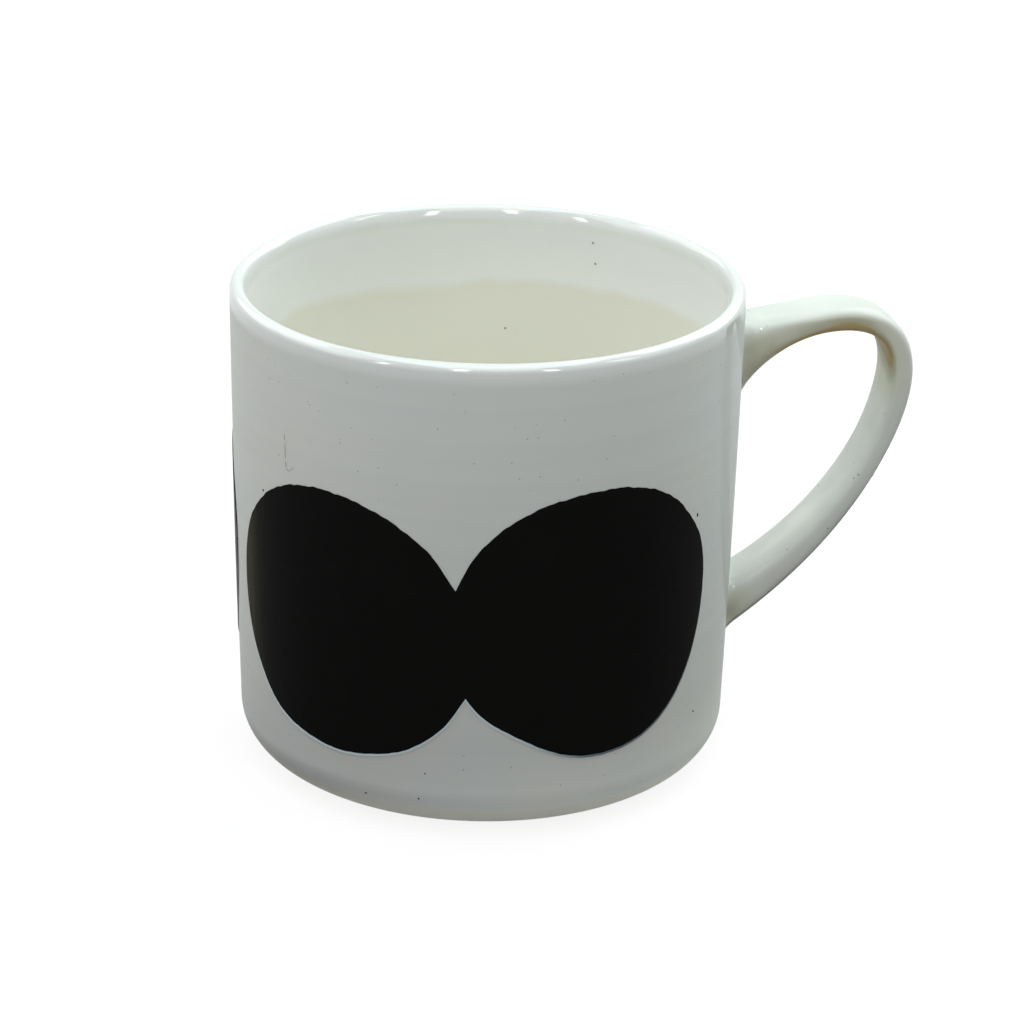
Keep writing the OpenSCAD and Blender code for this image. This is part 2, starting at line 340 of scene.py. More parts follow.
def strap_half(run):
    """Half the strap's thickness at a length along it."""
    upper = flare(run, UPPER_FLARE, UPPER_FLARE_L)
    lower = flare(STRAP_L - run, LOWER_FLARE, LOWER_FLARE_L)
    return (STRAP_T + upper + lower) / 2


def strap_surface(run, angle):
    """Points and normals of the strap's skin. Angle 0 is its outer face, half a turn its inner one."""
    x = np.interp(run, STRAP_RUN, STRAP_POINTS[:, 0])
    z = np.interp(run, STRAP_RUN, STRAP_POINTS[:, 1])
    dx = np.interp(run, STRAP_RUN, STRAP_DIRS[:, 0])
    dz = np.interp(run, STRAP_RUN, STRAP_DIRS[:, 1])
    half = strap_half(run)
    corner = 2 / (STRAP_SQUARENESS - LOWER_SOFTER * rising(run, *SOFTER_STEP))
    out = half * bent(np.cos(angle), corner)
    side = STRAP_W / 2 * bent(np.sin(angle), corner)
    points = np.stack(np.broadcast_arrays(x - dz * out, side, z + dx * out), axis=-1)
    out_slope = bent(np.cos(angle), 2 - corner) / half
    side_slope = bent(np.sin(angle), 2 - corner) / (STRAP_W / 2)
    normals = np.stack(np.broadcast_arrays(-dz * out_slope, side_slope, dx * out_slope), axis=-1)
    return points, unit(normals)


def root_crossings(runs):
    """Length along the strap at which each of its sides leaves the wall. The runs start inside the wall."""
    points = strap_surface(runs[:, None], STRAP_ANGLES)[0]
    gap = np.hypot(points[..., 0], points[..., 1]) - outer_r(points[..., 2])
    crossings = []
    for side_gap in gap.T:
        inside = np.flatnonzero(side_gap < 0)[-1]
        share = side_gap[inside] / (side_gap[inside] - side_gap[inside + 1])
        crossings.append(runs[inside] + share * (runs[inside + 1] - runs[inside]))
    return np.array(crossings)


UPPER_CROSSINGS = root_crossings(np.linspace(-ROOT_BURY, CROSSING_REACH, CROSSING_TRIES))
LOWER_CROSSINGS = root_crossings(np.linspace(STRAP_L + ROOT_BURY, STRAP_L - CROSSING_REACH, CROSSING_TRIES))

# Pools of glaze on the strap, which also carry painted shade where shade falls under the strap, in its bend
# and at its roots: thickness, place and spread along it, turn and spread round it in degrees
GLAZE_POOLS_AND_SHADE = {
    "bend": (1.1, 31, 6.3, 212, 32),
    "bend_inside": (0.5, 31, 8, 172, 34),
    "crown": (0.85, 24, 6, 252, 24),
    "underside": (0.75, 15, 7, 238, 22),
    "upper_side": (0.3, 13, 14, 262, 34),
    "upper_root": (0.6, 5, 5, 245, 30),
    "below_bend": (0.3, 38, 6, 225, 65),
    "lower_root": (0.55, STRAP_L - 5, 4, 272, 28),
}
# Painted shade and painted dark reflection, as the dark line on the strap's lower outer edge and the faint
# one on its far inner edge: lengths and turns
OUTER_LINE_START = (40, 58)
OUTER_LINE_TURN = 305
INNER_LINE_START = (40, 46)
INNER_LINE_END = (78, 84)
INNER_LINE_TURN = 131
INNER_LINE_DEPTH = 0.35
LINE_TURN_W = 7


def glaze_pooling_and_shade(run, angle):
    """How thickly the glaze lies on the strap, with painted shade under it, in its bend and at its roots, 0
    to 1.
    """
    turn = np.degrees(angle)
    pools = 0
    for thickness, place, length, side, width in GLAZE_POOLS_AND_SHADE.values():
        pools = pools + thickness * hump(run, place, length) * hump(turn, side, width)
    return np.clip(pools, 0, 1)


def painted_edge_shade(run, angle):
    """How dark the painted shade lines on the strap's edges are, 0 to 1."""
    turn = np.degrees(angle)
    outer = rising(run, *OUTER_LINE_START) * hump(turn, OUTER_LINE_TURN, LINE_TURN_W)
    inner = INNER_LINE_DEPTH * rising(run, *INNER_LINE_START) * (1 - rising(run, *INNER_LINE_END))
    return np.clip(outer + inner * hump(turn, INNER_LINE_TURN, LINE_TURN_W), 0, 1)


def strap_fields(run, angle):
    """The point fields that colour the strap's glaze and paint its shade."""
    return {"glaze_and_shade": glaze_pooling_and_shade(run, angle).ravel(), "edge_shade": painted_edge_shade(run, angle).ravel()}


def make_handle(material):
    """The strap from wall to wall, with closer rows at its roots."""
    upper_start = UPPER_CROSSINGS - ROOT_SINK
    lower_start = LOWER_CROSSINGS + ROOT_SINK
    upper_end = UPPER_CROSSINGS.max() + BEAD_ON_STRAP + BEAD_MARGIN
    lower_end = LOWER_CROSSINGS.min() - BEAD_ON_STRAP - BEAD_MARGIN
    share = np.linspace(0, 1, ROOT_ROWS + 1)[:, None]
    upper = upper_start + (upper_end - upper_start) * share
    lower = lower_end + (lower_start - lower_end) * share
    middle = np.linspace(upper_end, lower_end, STRAP_ROWS)[1:-1, None] + 0 * STRAP_ANGLES
    runs = np.vstack((upper, middle, lower))
    points = strap_surface(runs, STRAP_ANGLES)[0]
    faces = tube_faces(len(runs), STRAP_SIDES)
    fields = strap_fields(runs, STRAP_ANGLES)
    return make_piece("handle_glazed", points.reshape(-1, 3), faces, material, fields=fields)


def make_bead(name, crossings, outward, material):
    """The bead round a root: a fillet from wall to strap, closed inside. outward is +1 at the upper root."""
    at_wall, strap_normal = strap_surface(crossings, STRAP_ANGLES)
    strap_runs = crossings + outward * BEAD_ON_STRAP
    on_strap, end_normal = strap_surface(strap_runs, STRAP_ANGLES)
    angle = np.arctan2(at_wall[:, 1], at_wall[:, 0])
    wall_normal = np.stack((np.cos(angle), np.sin(angle), 0 * angle), axis=-1)
    across = np.sum(strap_normal * wall_normal, axis=-1, keepdims=True)
    spread = at_wall + BEAD_ON_WALL * unit(strap_normal - across * wall_normal)
    on_wall = wall_point(np.arctan2(spread[:, 1], spread[:, 0]), spread[:, 2], -SINK)
    t = np.linspace(0, 1, BEAD_ROWS + 1)[:, None, None]
    outer = (1 - t) ** 2 * on_wall + 2 * t * (1 - t) * at_wall + t ** 2 * on_strap
    round_dir = np.roll(outer, -1, axis=1) - np.roll(outer, 1, axis=1)
    normals = unit(np.cross(round_dir, np.gradient(outer, axis=0)))
    normals *= np.sign(np.sum(normals * (strap_normal + wall_normal), axis=-1, keepdims=True))
    normals[0] = wall_normal
    normals[-1] = end_normal
    inside_start = on_strap - BEAD_INSET * end_normal
    in_wall = strap_surface(crossings - outward * ROOT_SINK / 2, STRAP_ANGLES)[0]
    inside_end = in_wall - BEAD_INSET * strap_normal
    rings = np.concatenate((outer, inside_start[None], inside_end[None]))
    ring_normals = np.concatenate((normals, end_normal[None], strap_normal[None]))
    runs = crossings + (strap_runs - crossings) * np.linspace(0, 1, len(rings))[:, None]
    fields = strap_fields(runs, STRAP_ANGLES)
    faces = grid_faces(len(rings), STRAP_SIDES, close_rows=True)
    return make_piece(name, rings.reshape(-1, 3), faces, material, ring_normals.reshape(-1, 3), fields)


PRINT_R = float(outer_r((LEFT_OVAL["level"] + RIGHT_OVAL["level"]) / 2))
FIGURE_LEFT = LEFT_OVAL["middle"] - LEFT_OVAL["half"]
FIGURE_RIGHT = RIGHT_OVAL["middle"] + RIGHT_OVAL["half"]
BACK_TURN = FRONT_TURN + (FIGURE_LEFT - FIGURE_GAP - FIGURE_RIGHT) / PRINT_R


def swells(x, parts):
    """Slight humps and dips of a hand-drawn edge."""
    return sum(height * hump(x, place, width) for place, width, height in parts)


def waves(x, parts):
    """Small waves of a ragged edge."""
    return sum(height * np.sin(2 * np.pi * x / length + start) for length, height, start in parts)


def oval_edges(oval, x):
    """Upper and lower edge of an oval at places x along the wall; nothing where the oval doesn't reach."""
    u = (x - oval["middle"]) / oval["half"]
    arch = np.sqrt(np.clip(1 - u * u, 0, None))
    level = oval["level"] + oval["lean"] * u
    top = level + (oval["top"] * (1 + oval["top_skew"] * u) + swells(x, oval["top_swells"])) * arch
    low = level - (oval["low"] * (1 + oval["low_skew"] * u) + swells(x, oval["low_swells"])) * arch
    outside = np.abs(u) > 1
    return np.where(outside, -np.inf, top), np.where(outside, np.inf, low)


def notch(edge):
    """Where the two ovals' upper edges (0) or lower edges (1) cross."""
    right_start = RIGHT_OVAL["middle"] - RIGHT_OVAL["half"]
    left_end = LEFT_OVAL["middle"] + LEFT_OVAL["half"]
    x = np.linspace(right_start, left_end, NOTCH_TRIES)[1:-1]
    apart = oval_edges(LEFT_OVAL, x)[edge] - oval_edges(RIGHT_OVAL, x)[edge]
    return x[np.argmin(np.abs(apart))]


def print_columns():
    """Places of a print's columns along the wall, closer towards its round ends and on its notches."""
    notches = sorted((notch(0), notch(1)))
    closing = 1 - np.cos(np.linspace(0, np.pi / 2, END_COLUMNS))
    left = FIGURE_LEFT + END_INSET + (notches[0] - FIGURE_LEFT - END_INSET) * closing
    right = FIGURE_RIGHT - END_INSET + (notches[1] - FIGURE_RIGHT + END_INSET) * closing
    between = np.linspace(notches[0], notches[1], NOTCH_COLUMNS)[1:-1]
    return np.concatenate((left, between, right[::-1]))


def figure_edges(x):
    """Upper and lower edge of the figure, and how fully its waves and lines show at each place, 0 to 1."""
    tops, lows = zip(oval_edges(LEFT_OVAL, x), oval_edges(RIGHT_OVAL, x))
    top = np.maximum(*tops)
    low = np.minimum(*lows)
    full = np.clip((top - low) / FULL_EDGE_H, 0, 1)
    return top + full * waves(x, TOP_WAVES), low + full * waves(x, LOW_WAVES), full


def print_shape(turn):
    """Points, normals, faces and fields of one figure on the wall. Its lowest rows are the blue bleed."""
    x = print_columns()
    top, low, full = figure_edges(x)
    bleed_shares, bleed_heights, bleed_tilts = zip(*BLEED_ROWS)
    bleed_z = low[:, None] - BLEED_W * full[:, None] * np.array(bleed_shares + (0,))
    above = low + NAVY_W * full
    ink_shares = np.concatenate((np.linspace(0, 1, PRINT_ROWS + 1), [1]))
    ink_z = above[:, None] + (top - above)[:, None] * ink_shares
    z = np.hstack((bleed_z, ink_z))
    grow = np.concatenate((bleed_heights, np.full(len(ink_shares), PRINT_T), [-SINK]))
    columns = len(grow)
    tilt = np.concatenate((bleed_tilts, np.zeros(columns - len(BLEED_ROWS))))
    angle = turn + x[:, None] / PRINT_R + 0 * z
    points = wall_point(angle, z, grow)
    normals = unit(np.stack((np.cos(angle), np.sin(angle), tilt + 0 * angle), axis=-1))
    column = np.arange(columns)
    bleed = (column < len(BLEED_ROWS)) * (1 - BLEED_LOSS * rising(x, *BLEED_LOSS_STEP))[:, None]
    thin = hump(x - FIGURE_LEFT, SHEEN_PLACE, SHEEN_W)[:, None] + 0 * z
    navy = (column == len(BLEED_ROWS)) + 0 * z
    fields = {"bleed": bleed.ravel(), "thin": thin.ravel(), "navy": navy.ravel()}
    return points.reshape(-1, 3), normals.reshape(-1, 3), tube_faces(len(x), columns), fields


def speck_shape(surface, middle, half_length, half_height, lean=0.0):
    """Points, normals and faces of a small raised speck on the cup. middle is an angle and a height."""
    spin = np.linspace(0, 2 * np.pi, SPECK_SIDES, endpoint=False)
    along = half_length * np.cos(spin) * np.cos(lean) - half_height * np.sin(spin) * np.sin(lean)
    up = half_length * np.cos(spin) * np.sin(lean) + half_height * np.sin(spin) * np.cos(lean)
    shares = np.concatenate((np.full(SPECK_SIDES, 1.0), np.full(SPECK_SIDES, SPECK_TOP)))
    angle = middle[0] + shares * np.tile(along, 2) / PRINT_R
    z = middle[1] + shares * np.tile(up, 2)
    points = surface(angle, z, np.where(shares == 1, -SINK, SPECK_T))
    raised = surface(angle, z, 1)
    facing = np.sign(np.sum(raised[:, :2] ** 2, axis=-1) - np.sum(points[:, :2] ** 2, axis=-1))
    normals = facing[:, None] * np.stack((np.cos(angle), np.sin(angle), 0 * angle), axis=-1)
    return points, normals, tube_faces(2, SPECK_SIDES), {}


def drop_shape(run, turn, size, sunk):
    """Points, normals and faces of a round bead on the strap, its middle sunk by a share of its size."""
    centre, normal = strap_surface(np.array(run), np.radians(turn))
    centre = centre - sunk * size * normal
    fall = np.linspace(0, np.pi, DROP_ROWS + 2)[1:-1, None]
    spin = np.linspace(0, 2 * np.pi, SPECK_SIDES, endpoint=False)
    parts = (np.sin(fall) * np.cos(spin), np.sin(fall) * np.sin(spin), np.cos(fall))
    normals = np.stack(np.broadcast_arrays(*parts), axis=-1).reshape(-1, 3)
    return centre + size * normals, normals, tube_faces(DROP_ROWS, SPECK_SIDES), {}


def hairline_strokes():
    """The hairline's strokes as very long specks, each with the way it leans."""
    strokes = []
    for (x1, z1), (x2, z2) in zip(HAIRLINE, HAIRLINE[1:]):
        middle = (FRONT_TURN + (x1 + x2) / 2 / PRINT_R, (z1 + z2) / 2)
        length = np.hypot(x2 - x1, z2 - z1)
        lean = np.arctan2(z2 - z1, x2 - x1)
        strokes.append(speck_shape(wall_point, middle, length / 2 + HAIRLINE_W, HAIRLINE_W / 2, lean))
    return strokes


def join_shapes(name, shapes, material):
    """One piece from several closed shapes. The fields of the first are 0 on the others."""
    points = np.concatenate([shape[0] for shape in shapes])
    normals = np.concatenate([shape[1] for shape in shapes])
    faces = []
    first = 0
    for shape_points, _, shape_faces, _ in shapes:
        faces += [tuple(first + corner for corner in face) for face in shape_faces]
        first += len(shape_points)
    fields = {}
    for field, values in shapes[0][3].items():
        none = [np.zeros(len(shape[0])) for shape in shapes[1:]]
        fields[field] = np.concatenate([values] + none)
    return make_piece(name, points, faces, material, normals, fields)


def make_print(name, turn, specks, material):
    """A printed figure, with the specks of colour that lie beside it."""
    shapes = [print_shape(turn)]
    for along, height, half_length, half_height in specks:
        shapes.append(speck_shape(wall_point, (turn + along / PRINT_R, height), half_length, half_height))
    return join_shapes(name, shapes, material)


def make_marks(material):
    """The hairline on the front, the dark specks inside and the specks on the strap."""
    shapes = hairline_strokes()
    for angle, height in INNER_SPECKS:
        shapes.append(speck_shape(inner_point, (np.radians(angle), height), INNER_SPECK_R, INNER_SPECK_R))
    shapes += [drop_shape(*speck, SPECK_SUNK) for speck in STRAP_SPECKS]
    return join_shapes("glaze_marks", shapes, material)


def make_drops(material):
    """The beads of glaze at the roots."""
    return join_shapes("glaze_drops", [drop_shape(*drop, DROP_SUNK) for drop in GLAZE_DROPS], material)


class Shader:
    """The nodes of a material or of the world, with short ways to add the ones used here."""

    def __init__(self, owner):
        owner.use_nodes = True
        self.tree = owner.node_tree
        self.tree.nodes.clear()

    def node(self, kind, inputs=None, **settings):
        """Adds a node with its settings. An input is a value, or the output that feeds it."""
        made = self.tree.nodes.new(kind)
        for name, value in settings.items():
            setattr(made, name, value)
        for key, value in (inputs or {}).items():
            if isinstance(value, bpy.types.NodeSocket):
                self.tree.links.new(value, made.inputs[key])
            else:
                made.inputs[key].default_value = value
        return made

    def math(self, operation, a, b):
        """Two numbers worked into one."""
        return self.node("ShaderNodeMath", {0: a, 1: b}, operation=operation).outputs[0]

    def rest(self, value):
        """What a share leaves of 1."""
        return self.math("SUBTRACT", 1.0, value)

    def step(self, value, low, high, start=0.0, end=1.0):
        """A soft step from start to end as value goes from low to high."""
        inputs = {0: value, 1: low, 2: high, 3: start, 4: end}
        return self.node("ShaderNodeMapRange", inputs, interpolation_type="SMOOTHSTEP").outputs[0]

    def mix(self, factor, a, b):
        """Colour a where the factor is 0, and colour b where it is 1."""
        return self.node("ShaderNodeMix", {0: factor, 6: a, 7: b}, data_type="RGBA").outputs[2]

    def dim(self, colour, factor):
        """A colour times a number."""
        return self.node("ShaderNodeVectorMath", {0: colour, 3: factor}, operation="SCALE").outputs[0]

    def noise(self, vector, per_metre, detail):
        """Soft noise from 0 to 1."""
        inputs = {"Vector": vector, "Scale": per_metre, "Detail": detail}
        return self.node("ShaderNodeTexNoise", inputs).outputs[0]

    def patches(self, vector, per_metre):
        """0 in some patches and 1 in others, with soft edges."""
        return self.step(self.noise(vector, per_metre, 3.0), 0.35, 0.65)

    def drift(self, vector, per_metre, detail, start, end):
        """A value that wanders between start and end from place to place."""
        return self.step(self.noise(vector, per_metre, detail), 0.3, 0.7, start, end)

    def scaled(self, vector, factors):
        """A vector with each part times its own factor."""
        return self.node("ShaderNodeVectorMath", {0: vector, 1: factors}, operation="MULTIPLY").outputs[0]

    def length(self, vector):
        """How long a vector is."""
        return self.node("ShaderNodeVectorMath", {0: vector}, operation="LENGTH").outputs["Value"]

    def field(self, name):
        """A point field of the mesh."""
        return self.node("ShaderNodeAttribute", attribute_name=name).outputs["Fac"]

    def place(self):
        """Where a point lies in the CAD frame, in metres."""
        return self.node("ShaderNodeTexCoord").outputs["Object"]

    def finish(self, kind, surface):
        """Joins the surface to an output of its kind."""
        output = self.node(kind)
        self.tree.links.new(surface, output.inputs["Surface"])


def rgb(red, green, blue):
    """An opaque colour."""
    return (red, green, blue, 1.0)


# Colours
WHITE = rgb(1.0, 1.0, 1.0)
COOL_WHITE = rgb(0.855, 0.885, 0.88)
WARM_WHITE = rgb(0.88, 0.885, 0.86)
# Painted light: the inside is coloured whiter than the outside, standing in for the brighter light inside
# the cup
INSIDE_PAINTED_LIGHT_WHITE = rgb(0.955, 0.97, 0.965)
# Painted highlight: the lip is coloured whiter and bluer than the wall, standing in for the light on the
# rim's top
LIP_HIGHLIGHT_WHITE = rgb(0.89, 0.92, 0.925)
# Painted shade: a warm cream on the lower inside wall, standing in for the warm shade of light thrown about
# inside the cup
CREAM_SHADE = rgb(0.905, 0.895, 0.82)
HANDLE_WHITE = rgb(0.87, 0.895, 0.86)
# Pooled glaze and painted shade on the strap, from light to deep: ivory, olive, brown
IVORY = rgb(0.8, 0.805, 0.685)
OLIVE = rgb(0.61, 0.59, 0.46)
THICK_GLAZE_SHADE = rgb(0.53, 0.385, 0.17)
# Painted shade and painted dark reflection along the strap's edges
EDGE_SHADE_OLIVE = rgb(0.2, 0.185, 0.125)
# Painted highlight: beads whiter than the glaze round them
DROP_HIGHLIGHT_WHITE = rgb(0.94, 0.95, 0.94)
SPECK_BROWN = rgb(0.36, 0.33, 0.29)
MARK_GREY = rgb(0.38, 0.37, 0.36)
BARE_CLAY = rgb(0.62, 0.57, 0.49)
PRINT_BLACK = rgb(0.0092, 0.009, 0.0088)
PRINT_WORN = rgb(0.0105, 0.0102, 0.01)
# Painted sheen: brown on the print's left end, standing in for a grazing reflection
PRINT_SHEEN = rgb(0.065, 0.055, 0.028)
NAVY = rgb(0.004, 0.0075, 0.02)
BLEED_BLUE = rgb(0.83, 0.94, 1.0)
# Gloss: a thin clear coat of high index, so that the edges don't mirror more than the middle does
COAT_WEIGHT = 0.2
LIP_COAT_WEIGHT = 0.9
COAT_INDEX = 2.0
DROP_INDEX = 3.0
COAT_ROUGHNESS = 0.06
CLAY_ROUGHNESS = 0.75
MARK_ROUGHNESS = 0.3
DROP_ROUGHNESS = 0.05
PRINT_SPECULAR = 0.007
# Where the cup's glaze changes, in metres: the radius of the inside, then heights, each from and to
INSIDE_STEP = (0.04, 0.0393)
LIP_STEP = (0.0785, 0.0802)
LIP_COAT_STEP = (0.0775, 0.0795)
# The cream step below is painted shade
CREAM_SHADE_STEP = (0.0722, 0.0698)
CREAM_SHADE_WAVER = 0.006
FOOT_STEP = (0.0005, 0.00015)
# Grain of the turning rings and of the streaks in the painted sheen on the print: how often they change
# along x, y and z
RING_GRAIN = (6.0, 6.0, 420.0)
STREAK_GRAIN = (900.0, 900.0, 25.0)
# Specks in the glaze: cells to the metre, size as a share of a cell, and strength
CUP_SPECKS = (440.0, 0.07)
CUP_SPECKS_OUTSIDE = 0.6
CUP_SPECKS_INSIDE = 0.1
HANDLE_SPECKS = (300.0, 0.06)
HANDLE_SPECKS_STRENGTH = 0.4
# Share of a speck's reach within which it has its full colour
SPECK_CORE = 0.6
EDGE_SHADE_STRENGTH = 0.75
# Height of the fine bumps in the glaze, as a share of the slow ones
FINE_BUMPS = 0.06


def new_material(name):
    """A material, the shader that fills it and the place of a point in it."""
    material = bpy.data.materials.new(name)
    shader = Shader(material)
    return material, shader, shader.place()


def speck_mask(shader, place, per_metre, reach):
    """Small round specks scattered through space: 1 within reach, in cells, of a cell's own point."""
    inputs = {"Vector": place, "Scale": per_metre}
    distance = shader.node("ShaderNodeTexVoronoi", inputs).outputs["Distance"]
    return shader.step(distance, reach, SPECK_CORE * reach)


def glaze_bump(shader, place):
    """The slight unevenness of a fired glaze."""
    slow = shader.noise(place, per_metre=60.0, detail=1.0)
    fine = shader.noise(place, per_metre=900.0, detail=2.0)
    height = shader.math("ADD", slow, shader.math("MULTIPLY", fine, FINE_BUMPS))
    inputs = {"Height": height, "Strength": 0.25, "Distance": 0.0004}
    return shader.node("ShaderNodeBump", inputs).outputs[0]


def glossy_surface(shader, place, colour, roughness, coat=COAT_WEIGHT, index=COAT_INDEX):
    """A coloured body under a clear glossy coat."""
    uneven = glaze_bump(shader, place)
    return shader.node("ShaderNodeBsdfPrincipled", {
        "Base Color": colour, "Roughness": roughness, "Specular IOR Level": 0.0, "Normal": uneven,
        "Coat Weight": coat, "Coat IOR": index, "Coat Roughness": COAT_ROUGHNESS, "Coat Normal": uneven,
    }).outputs[0]


def cup_glaze():
    """White glaze: faint patches and turning rings, specks, a bare foot ring, a lip painted whiter and bluer
    as a painted highlight, an inside painted whiter than the outside as painted light, and a cream tint
    painted low on the inside wall as painted warm shade.
    """
    material, shader, place = new_material("white_glaze")
    radius = shader.length(shader.scaled(place, (1.0, 1.0, 0.0)))
    height = shader.node("ShaderNodeSeparateXYZ", {0: place}).outputs["Z"]
    inside = shader.step(radius, *INSIDE_STEP)
    lip = shader.step(height, *LIP_STEP)
    foot = shader.step(height, *FOOT_STEP)

    colour = shader.mix(shader.patches(place, per_metre=42.0), COOL_WHITE, WARM_WHITE)
    grain = shader.scaled(place, RING_GRAIN)
    rings = shader.drift(grain, per_metre=1.0, detail=3.0, start=-0.012, end=0.01)
    rings_outside = shader.math("MULTIPLY", rings, shader.rest(inside))
    colour = shader.dim(colour, shader.math("ADD", rings_outside, 1.0))
    # Painted light: the inside is whiter than the outside
    colour = shader.mix(inside, colour, INSIDE_PAINTED_LIGHT_WHITE)
    # Painted highlight: a whiter, bluer band over the lip
    colour = shader.mix(lip, colour, LIP_HIGHLIGHT_WHITE)

    # Painted shade: cream below a wavering line on the inside wall
    waver = shader.math("MULTIPLY", shader.noise(place, per_metre=45.0, detail=3.0), CREAM_SHADE_WAVER)
    cream_shade_mask = shader.step(shader.math("ADD", height, waver), *CREAM_SHADE_STEP)
    colour = shader.mix(shader.math("MULTIPLY", inside, cream_shade_mask), colour, CREAM_SHADE)

    strength = shader.step(inside, 0.0, 1.0, CUP_SPECKS_OUTSIDE, CUP_SPECKS_INSIDE)
    strength = shader.math("MULTIPLY", strength, shader.rest(lip))
    specks = shader.math("MULTIPLY", speck_mask(shader, place, *CUP_SPECKS), strength)
    colour = shader.mix(specks, colour, SPECK_BROWN)
    colour = shader.mix(foot, colour, BARE_CLAY)

    roughness = shader.drift(place, per_metre=55.0, detail=2.0, start=0.07, end=0.11)
    roughness = shader.math("MAXIMUM", roughness, shader.math("MULTIPLY", foot, CLAY_ROUGHNESS))
    coat = shader.step(height, *LIP_COAT_STEP, COAT_WEIGHT, LIP_COAT_WEIGHT)
    coat = shader.math("MULTIPLY", coat, shader.rest(foot))
    shader.finish("ShaderNodeOutputMaterial", glossy_surface(shader, place, colour, roughness, coat))
    return material


def handle_glaze():
    """The same glaze, ivory to olive brown where it lies thick and where shade is painted under the strap,
    in its bend and at its roots.
    """
    material, shader, place = new_material("handle_white_glaze")
    cloud = shader.drift(place, per_metre=110.0, detail=3.0, start=0.75, end=1.2)
    pooled_and_shaded = shader.math("MULTIPLY", shader.field("glaze_and_shade"), cloud)
    colour = shader.mix(shader.patches(place, per_metre=60.0), HANDLE_WHITE, WARM_WHITE)
    shade = shader.drift(place, per_metre=150.0, detail=3.0, start=0.955, end=1.015)
    colour = shader.dim(colour, shade)
    # Pooled glaze and painted shade: ivory, olive and brown where the field is high
    colour = shader.mix(shader.step(pooled_and_shaded, low=0.0, high=0.35), colour, IVORY)
    colour = shader.mix(shader.step(pooled_and_shaded, low=0.3, high=0.65), colour, OLIVE)
    colour = shader.mix(shader.step(pooled_and_shaded, low=0.6, high=1.0), colour, THICK_GLAZE_SHADE)
    # Painted shade: dark lines along the strap's edges
    edge_shade = shader.math("MULTIPLY", shader.field("edge_shade"), EDGE_SHADE_STRENGTH)
    colour = shader.mix(edge_shade, colour, EDGE_SHADE_OLIVE)
    specks = speck_mask(shader, place, *HANDLE_SPECKS)
    colour = shader.mix(shader.math("MULTIPLY", specks, HANDLE_SPECKS_STRENGTH), colour, SPECK_BROWN)
    roughness = shader.drift(place, per_metre=55.0, detail=2.0, start=0.08, end=0.13)
    shader.finish("ShaderNodeOutputMaterial", glossy_surface(shader, place, colour, roughness))
    return material


def print_ink():
    """Fired black, faintly uneven, with a painted sheen at one end and blue along its lower edge."""
    material, shader, place = new_material("fired_black")
    worn = shader.step(shader.noise(place, per_metre=160.0, detail=4.0), low=0.45, high=0.8)
    colour = shader.mix(worn, PRINT_BLACK, PRINT_WORN)
    grain = shader.scaled(place, STREAK_GRAIN)
    streaks = shader.drift(grain, per_metre=1.0, detail=2.0, start=0.5, end=1.0)
    # Painted sheen: streaked brown painted near the figure's left end
    colour = shader.mix(shader.math("MULTIPLY", shader.field("thin"), streaks), colour, PRINT_SHEEN)
    colour = shader.mix(shader.field("navy"), colour, NAVY)
    colour = shader.mix(shader.field("bleed"), colour, BLEED_BLUE)
    roughness = shader.drift(place, per_metre=300.0, detail=3.0, start=0.26, end=0.36)
    surface = shader.node("ShaderNodeBsdfPrincipled", {
        "Base Color": colour, "Roughness": roughness, "Specular IOR Level": PRINT_SPECULAR,
        "Normal": glaze_bump(shader, place),
    })
    shader.finish("ShaderNodeOutputMaterial", surface.outputs[0])
    return material


def mark_grey():
    """The dull grey of specks and hairlines in the glaze."""
    material, shader, place = new_material("glaze_mark")
    colour = shader.mix(shader.noise(place, per_metre=4000.0, detail=2.0), MARK_GREY, SPECK_BROWN)
    shader.finish("ShaderNodeOutputMaterial", glossy_surface(shader, place, colour, MARK_ROUGHNESS))
    return material


def highlight_drop_glaze():
    """Clear beads of glaze, painted whiter than the body under them as a painted highlight."""
    material, shader, place = new_material("glaze_drop")
    shade = shader.drift(place, per_metre=2000.0, detail=2.0, start=0.98, end=1.02)
    colour = shader.dim(DROP_HIGHLIGHT_WHITE[:3], shade)
    surface = glossy_surface(shader, place, colour, DROP_ROUGHNESS, 1.0, DROP_INDEX)
    shader.finish("ShaderNodeOutputMaterial", surface)
    return material


# Stage, in metres
FLOOR_SIZE = 6.0
# Share of the light that the table throws back up: beside the mug, round it, and farther out
FLOOR_NEAR = 0.58
FLOOR_ROUND = 0.03
FLOOR_FAR = 0.5
# Radii between which the share changes, how much narrower these rings are from left to right, their middle
FLOOR_ROUND_STEP = (0.048, 0.062)
FLOOR_FAR_STEP = (0.12, 0.2)
FLOOR_SQUEEZE = (1.2, 1.0, 0.0)
FLOOR_SHIFT = (0.007, 0.0, 0.0)
# How the table looks: a part that takes the shadow and a part that is white by itself
FLOOR_WHITE = rgb(0.18, 0.18, 0.18)
FLOOR_GLOW = 0.87
SKY_STRENGTH = 0.03
